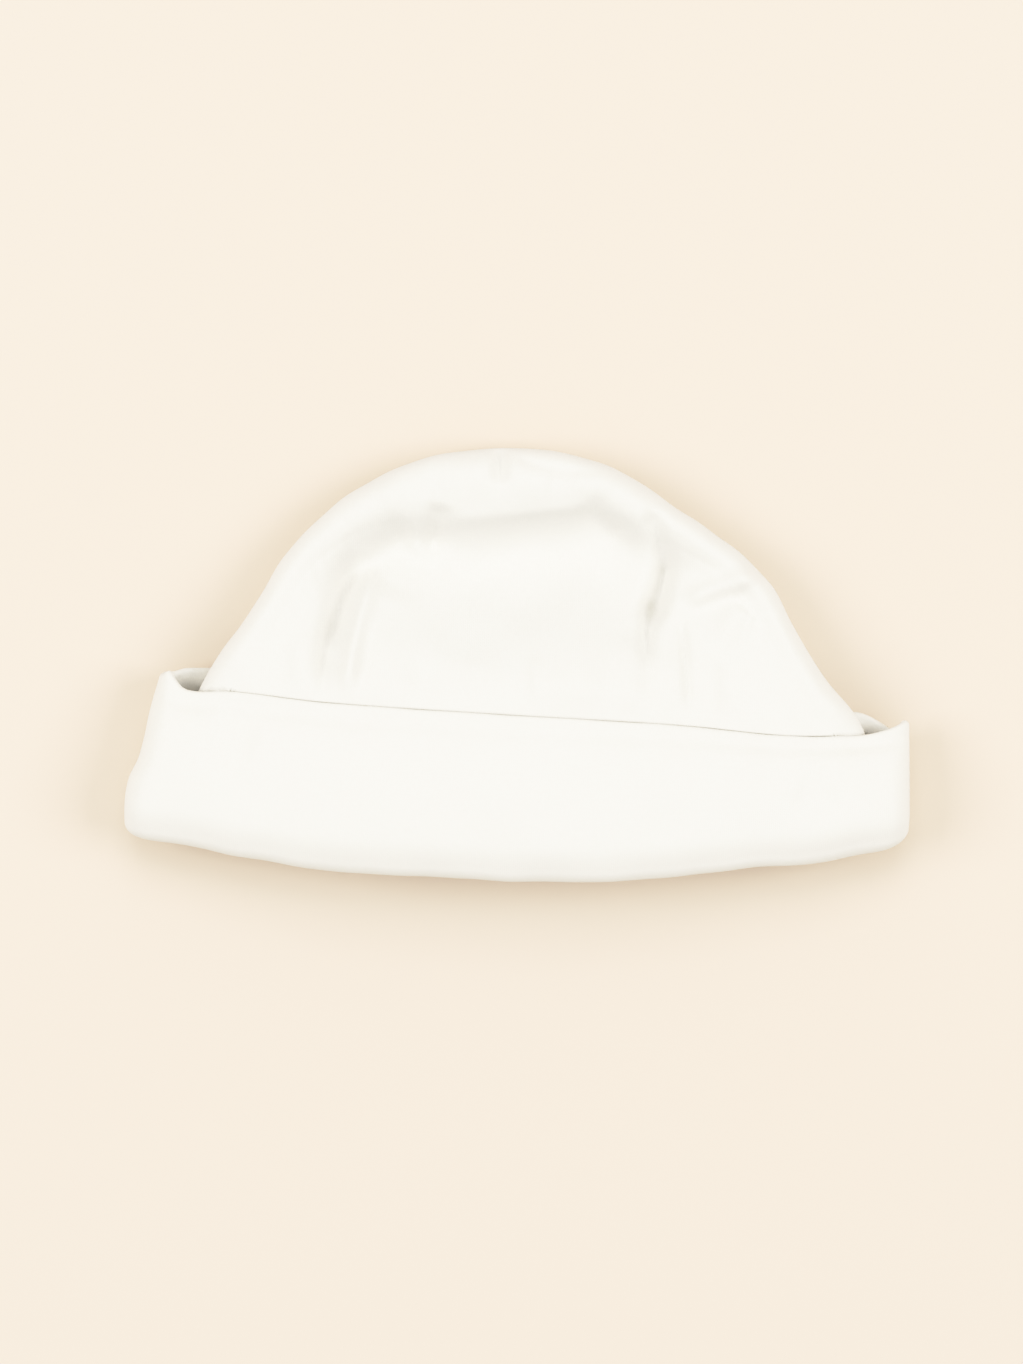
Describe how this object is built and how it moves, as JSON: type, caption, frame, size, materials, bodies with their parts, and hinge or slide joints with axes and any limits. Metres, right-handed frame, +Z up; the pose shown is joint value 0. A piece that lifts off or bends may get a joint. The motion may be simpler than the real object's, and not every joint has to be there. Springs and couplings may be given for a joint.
{
  "type": "nightcap",
  "caption": "Baby's white cotton jersey nightcap with a seamed dome crown and a wide turned-up brim, lying flat on its back.",
  "frame": {"origin": "centre of the bounding box's underside, on the surface that the cap lies on", "axes": "+X to the right along the mouth as the picture shows it, +Y from the mouth to the top of the crown, +Z up, out of the front of the cap"},
  "size_m": [0.17, 0.0937, 0.0253],
  "materials": {
    "cotton_jersey": "matt knitted cotton",
    "doubled_cotton_jersey": "matt knitted cotton, two layers"
  },
  "bodies": {
    "root": {"crown_front": "cotton_jersey", "crown_back": "cotton_jersey", "turn_up": "doubled_cotton_jersey"}
  },
  "joints": []
}
